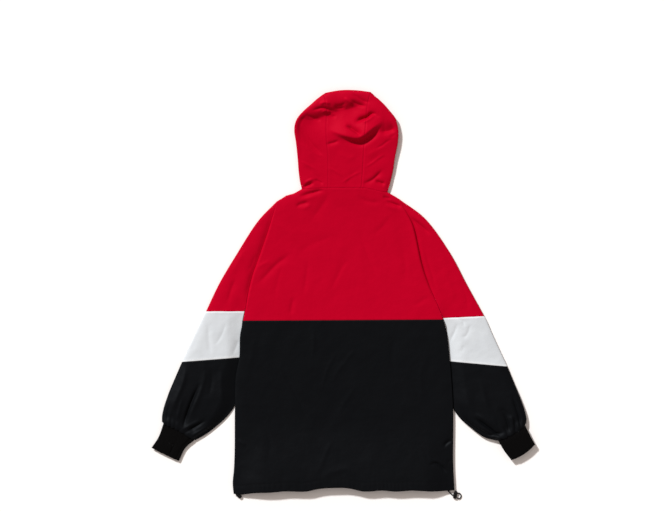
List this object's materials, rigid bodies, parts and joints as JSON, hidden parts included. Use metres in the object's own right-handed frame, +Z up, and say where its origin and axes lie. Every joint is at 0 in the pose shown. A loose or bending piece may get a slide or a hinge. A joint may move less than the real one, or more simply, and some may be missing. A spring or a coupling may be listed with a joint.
{
  "type": "hooded windbreaker jacket",
  "caption": "Long hooded zip-front windbreaker in colour blocks, laid flat and face down with its sleeves spread.",
  "frame": {"origin": "on the surface it lies on, below the middle of its outline without the cord ends", "axes": "+X to the wearer's right, +Y from the hem to the hood, +Z up off the surface, out of the jacket's back"},
  "size_m": [0.996, 1.0632, 0.0351],
  "materials": {
    "red_shell": "satin woven nylon",
    "black_shell": "satin woven nylon",
    "white_shell": "satin woven nylon",
    "black_rib": "matt rib knit",
    "black_elastic": "round braided elastic",
    "black_plastic": "moulded, smooth",
    "dark_metal": "dark die-cast zinc"
  },
  "bodies": {
    "root": {"back_upper": "red_shell", "back_lower": "black_shell", "front_upper_left": "red_shell", "front_upper_right": "red_shell", "front_lower_left": "black_shell", "front_lower_right": "black_shell", "zip_tape": "black_shell", "zip_slider": "dark_metal", "hood_left": "red_shell", "hood_centre": "red_shell", "hood_right": "red_shell", "sleeve_left_upper": "red_shell", "sleeve_left_band": "white_shell", "sleeve_left_lower": "black_shell", "sleeve_right_upper": "red_shell", "sleeve_right_band": "white_shell", "sleeve_right_lower": "black_shell", "cuff_left": "black_rib", "cuff_right": "black_rib", "hem_cord_left": "black_elastic", "hem_cord_right": "black_elastic", "cord_lock_left": "black_plastic", "cord_lock_right": "black_plastic"}
  },
  "joints": []
}
